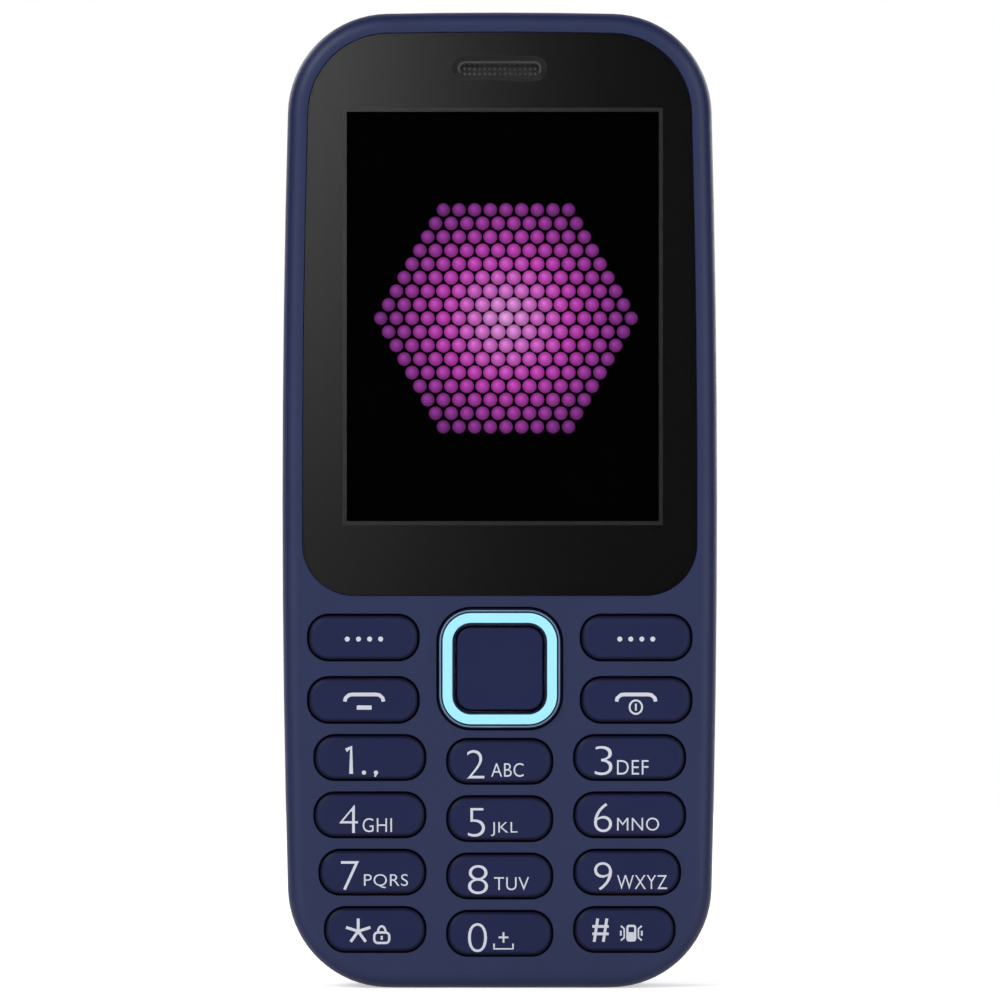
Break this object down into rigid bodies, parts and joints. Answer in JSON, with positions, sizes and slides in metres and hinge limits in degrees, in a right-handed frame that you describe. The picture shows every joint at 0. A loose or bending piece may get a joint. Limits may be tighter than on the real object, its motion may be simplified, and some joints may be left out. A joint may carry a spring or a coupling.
{
  "type": "feature phone",
  "caption": "Bar-type mobile phone with a display above a rocking navigation ring and a number keypad, and a lift-off back over the battery.",
  "frame": {"origin": "centre of the bounding box's underside, where the phone stands on its flat bottom end", "axes": "+Z towards the phone's top end, -Y out of the display and keys, +X to the right of someone looking at the keys"},
  "size_m": [0.0516, 0.0142, 0.1159],
  "materials": {
    "navy_housing": "satin moulded plastic, fine grain",
    "navy_cover": "satin moulded plastic, fine grain",
    "navy_keys": "semi-gloss moulded keycaps with white legends",
    "cyan_band": "pale cyan inlay",
    "lens_clear": "clear hard-coated lens",
    "border_black": "black print on adhesive",
    "display_glass": "black display glass",
    "light_guide": "frosted white",
    "stamped_steel": "stamped tinned steel",
    "dome_steel": "sprung steel",
    "mesh_steel": "fine dark mesh",
    "board_laminate": "green solder mask over fibre laminate",
    "chip_resin": "black moulding resin",
    "silicone": "translucent grey silicone",
    "dome_film": "white adhesive film",
    "flex_amber": "amber film with copper tracks",
    "black_plastic": "black moulded plastic",
    "boot_rubber": "black rubber",
    "contact_gold": "gold-plated contacts",
    "antenna_copper": "copper foil",
    "screw_steel": "black-nickel screws",
    "battery_skin": "grey printed film over a plastic cap",
    "torch_clear": "clear moulded lens",
    "torch_lamp": "white package with yellow phosphor",
    "camera_glass": "dark tinted window",
    "speaker_paper": "black cone in a plastic box"
  },
  "bodies": {
    "chassis": {"front_housing": "navy_housing", "display_lens": "lens_clear", "lens_border": "border_black", "earpiece_mesh": "mesh_steel", "earpiece_receiver": "stamped_steel", "lcd_panel": "display_glass", "backlight": "light_guide", "lcd_frame": "stamped_steel", "lcd_flex": "flex_amber", "keypad_mat": "silicone", "dome_sheet": "dome_film", "metal_domes": "dome_steel", "main_board": "board_laminate", "upper_shield": "stamped_steel", "bay_shield": "stamped_steel", "board_chips": "chip_resin", "sim_holder_left": "stamped_steel", "sim_holder_right": "stamped_steel", "memory_card_holder": "stamped_steel", "battery_connector": "black_plastic", "battery_contacts": "contact_gold", "headphone_socket": "black_plastic", "torch_led": "torch_lamp", "torch_lens": "torch_clear", "usb_socket": "stamped_steel", "usb_tongue": "black_plastic", "microphone": "stamped_steel", "microphone_boot": "boot_rubber", "vibration_motor": "stamped_steel", "loudspeaker": "speaker_paper", "camera_module": "black_plastic", "camera_flex": "flex_amber", "rear_housing": "black_plastic", "antenna": "antenna_copper", "housing_screws": "screw_steel"},
    "battery_cover": {"battery_cover": "navy_cover", "camera_window": "camera_glass", "speaker_mesh": "mesh_steel"},
    "battery": {"battery": "battery_skin"},
    "nav_cradle": {"nav_pad": "silicone"},
    "nav_ring": {"nav_ring": "navy_keys", "nav_band": "cyan_band"},
    "select_key": {"select_key": "navy_keys"},
    "motor_rotor": {"motor_shaft": "screw_steel"},
    "key_0": {"key_0": "navy_keys"},
    "key_1": {"key_1": "navy_keys"},
    "key_2": {"key_2": "navy_keys"},
    "key_3": {"key_3": "navy_keys"},
    "key_4": {"key_4": "navy_keys"},
    "key_5": {"key_5": "navy_keys"},
    "key_6": {"key_6": "navy_keys"},
    "key_7": {"key_7": "navy_keys"},
    "key_8": {"key_8": "navy_keys"},
    "key_9": {"key_9": "navy_keys"},
    "key_call": {"key_call": "navy_keys"},
    "key_end": {"key_end": "navy_keys"},
    "key_hash": {"key_hash": "navy_keys"},
    "key_soft_left": {"key_soft_left": "navy_keys"},
    "key_soft_right": {"key_soft_right": "navy_keys"},
    "key_star": {"key_star": "navy_keys"}
  },
  "joints": [
    {"name": "battery_cover_lift", "type": "slide", "parent": "chassis", "child": "battery_cover", "axis": [0, 1, 0], "range_m": [0, 0.03]},
    {"name": "battery_lift", "type": "slide", "parent": "chassis", "child": "battery", "axis": [0, 1, 0], "range_m": [0, 0.015]},
    {"name": "key_0_press", "type": "slide", "parent": "chassis", "child": "key_0", "axis": [0, 1, 0], "range_m": [0, 0.0003], "stiffness_N_per_m": 500, "springref_m": -0.0005, "deforming": ["keypad_mat", "metal_domes"]},
    {"name": "key_1_press", "type": "slide", "parent": "chassis", "child": "key_1", "axis": [0, 1, 0], "range_m": [0, 0.0003], "stiffness_N_per_m": 500, "springref_m": -0.0005, "deforming": ["keypad_mat", "metal_domes"]},
    {"name": "key_2_press", "type": "slide", "parent": "chassis", "child": "key_2", "axis": [0, 1, 0], "range_m": [0, 0.0003], "stiffness_N_per_m": 500, "springref_m": -0.0005, "deforming": ["keypad_mat", "metal_domes"]},
    {"name": "key_3_press", "type": "slide", "parent": "chassis", "child": "key_3", "axis": [0, 1, 0], "range_m": [0, 0.0003], "stiffness_N_per_m": 500, "springref_m": -0.0005, "deforming": ["keypad_mat", "metal_domes"]},
    {"name": "key_4_press", "type": "slide", "parent": "chassis", "child": "key_4", "axis": [0, 1, 0], "range_m": [0, 0.0003], "stiffness_N_per_m": 500, "springref_m": -0.0005, "deforming": ["keypad_mat", "metal_domes"]},
    {"name": "key_5_press", "type": "slide", "parent": "chassis", "child": "key_5", "axis": [0, 1, 0], "range_m": [0, 0.0003], "stiffness_N_per_m": 500, "springref_m": -0.0005, "deforming": ["keypad_mat", "metal_domes"]},
    {"name": "key_6_press", "type": "slide", "parent": "chassis", "child": "key_6", "axis": [0, 1, 0], "range_m": [0, 0.0003], "stiffness_N_per_m": 500, "springref_m": -0.0005, "deforming": ["keypad_mat", "metal_domes"]},
    {"name": "key_7_press", "type": "slide", "parent": "chassis", "child": "key_7", "axis": [0, 1, 0], "range_m": [0, 0.0003], "stiffness_N_per_m": 500, "springref_m": -0.0005, "deforming": ["keypad_mat", "metal_domes"]},
    {"name": "key_8_press", "type": "slide", "parent": "chassis", "child": "key_8", "axis": [0, 1, 0], "range_m": [0, 0.0003], "stiffness_N_per_m": 500, "springref_m": -0.0005, "deforming": ["keypad_mat", "metal_domes"]},
    {"name": "key_9_press", "type": "slide", "parent": "chassis", "child": "key_9", "axis": [0, 1, 0], "range_m": [0, 0.0003], "stiffness_N_per_m": 500, "springref_m": -0.0005, "deforming": ["keypad_mat", "metal_domes"]},
    {"name": "key_call_press", "type": "slide", "parent": "chassis", "child": "key_call", "axis": [0, 1, 0], "range_m": [0, 0.0003], "stiffness_N_per_m": 500, "springref_m": -0.0005, "deforming": ["keypad_mat", "metal_domes"]},
    {"name": "key_end_press", "type": "slide", "parent": "chassis", "child": "key_end", "axis": [0, 1, 0], "range_m": [0, 0.0003], "stiffness_N_per_m": 500, "springref_m": -0.0005, "deforming": ["keypad_mat", "metal_domes"]},
    {"name": "key_hash_press", "type": "slide", "parent": "chassis", "child": "key_hash", "axis": [0, 1, 0], "range_m": [0, 0.0003], "stiffness_N_per_m": 500, "springref_m": -0.0005, "deforming": ["keypad_mat", "metal_domes"]},
    {"name": "key_soft_left_press", "type": "slide", "parent": "chassis", "child": "key_soft_left", "axis": [0, 1, 0], "range_m": [0, 0.0003], "stiffness_N_per_m": 500, "springref_m": -0.0005, "deforming": ["keypad_mat", "metal_domes"]},
    {"name": "key_soft_right_press", "type": "slide", "parent": "chassis", "child": "key_soft_right", "axis": [0, 1, 0], "range_m": [0, 0.0003], "stiffness_N_per_m": 500, "springref_m": -0.0005, "deforming": ["keypad_mat", "metal_domes"]},
    {"name": "key_star_press", "type": "slide", "parent": "chassis", "child": "key_star", "axis": [0, 1, 0], "range_m": [0, 0.0003], "stiffness_N_per_m": 500, "springref_m": -0.0005, "deforming": ["keypad_mat", "metal_domes"]},
    {"name": "select_key_press", "type": "slide", "parent": "chassis", "child": "select_key", "axis": [0, 1, 0], "range_m": [0, 0.0003], "stiffness_N_per_m": 500, "springref_m": -0.0005, "deforming": ["nav_pad", "metal_domes"]},
    {"name": "nav_rock_up_down", "type": "hinge", "parent": "chassis", "child": "nav_cradle", "pos_m": [0, -0.00412, 0.03794], "axis": [1, 0, 0], "range_deg": [-1.5, 1.5], "stiffness_Nm_per_rad": 0.05, "deforming": ["nav_pad", "metal_domes"]},
    {"name": "nav_rock_left_right", "type": "hinge", "parent": "nav_cradle", "child": "nav_ring", "pos_m": [0, -0.00412, 0.03794], "axis": [0, 0, 1], "range_deg": [-1.5, 1.5], "stiffness_Nm_per_rad": 0.05, "deforming": ["nav_pad", "metal_domes"]},
    {"name": "motor_spin", "type": "hinge", "parent": "chassis", "child": "motor_rotor", "pos_m": [-0.0175, 0.00045, 0.095], "axis": [0, 0, 1], "continuous": true}
  ],
  "couplings": [
    {"joint": "battery_lift", "follows": "battery_cover_lift", "ratio": 0.5}
  ]
}
